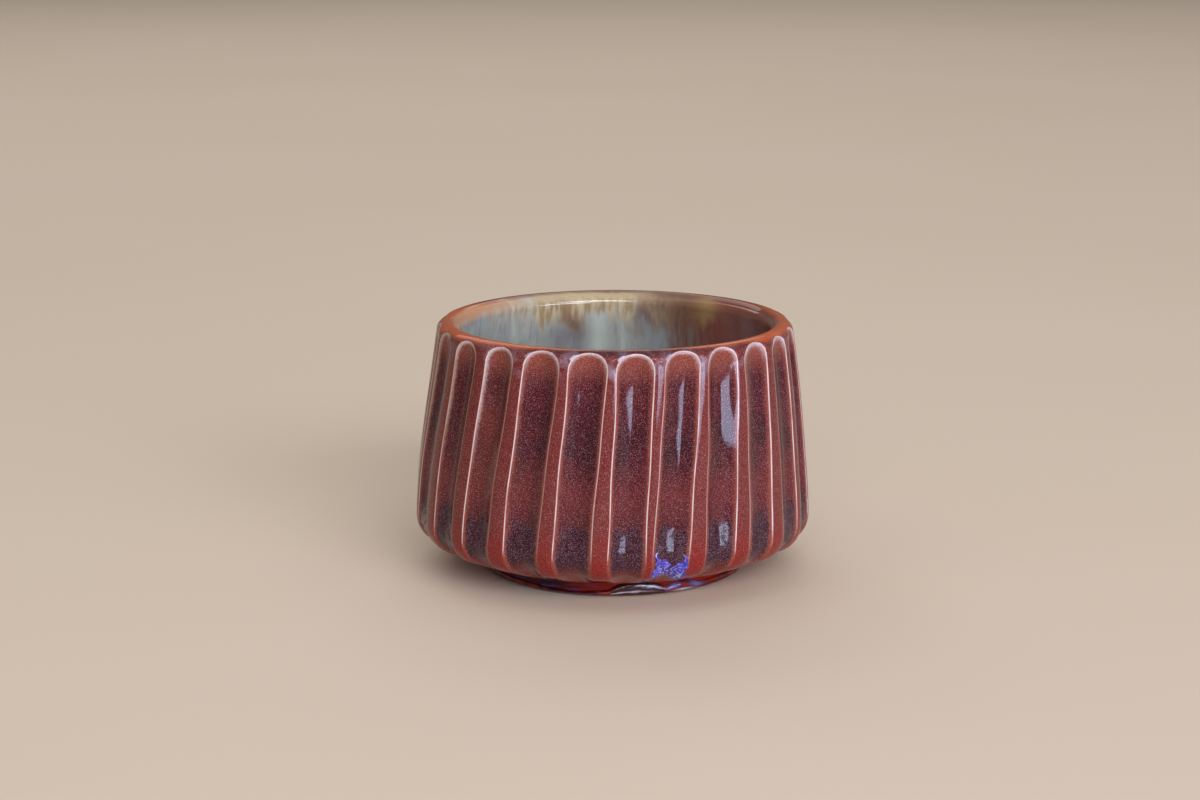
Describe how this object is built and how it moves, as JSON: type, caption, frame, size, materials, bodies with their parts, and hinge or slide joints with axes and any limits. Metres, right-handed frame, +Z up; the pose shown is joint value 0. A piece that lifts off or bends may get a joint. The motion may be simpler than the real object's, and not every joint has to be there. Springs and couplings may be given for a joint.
{
  "type": "cup",
  "caption": "Small handleless stoneware coffee cup with slanted arch-topped flutes carved round its outside, a rounded belly, a turned foot ring and a full round lip, glazed inside and out.",
  "frame": {"origin": "middle of the foot ring's underside, on the table", "axes": "+Z up along the cup's axis; -Y towards the viewer of the picture, +X to the viewer's right"},
  "size_m": [0.0837, 0.084, 0.0533],
  "materials": {
    "stoneware_body": "bare fired stoneware, matt",
    "outer_glaze": "plum-brown gloss glaze that breaks pale on edges",
    "liner_glaze": "pale blue-grey gloss glaze",
    "rim_glaze_band": "ochre to brown gloss glaze",
    "flute_glaze_pool": "thick blue-violet gloss glaze",
    "foot_glaze_roll": "thick dark red gloss glaze with violet"
  },
  "bodies": {
    "root": {"stoneware_body": "stoneware_body", "outer_glaze": "outer_glaze", "liner_glaze": "liner_glaze", "rim_glaze_band": "rim_glaze_band", "flute_glaze_pool": "flute_glaze_pool", "foot_glaze_roll": "foot_glaze_roll"}
  },
  "joints": []
}
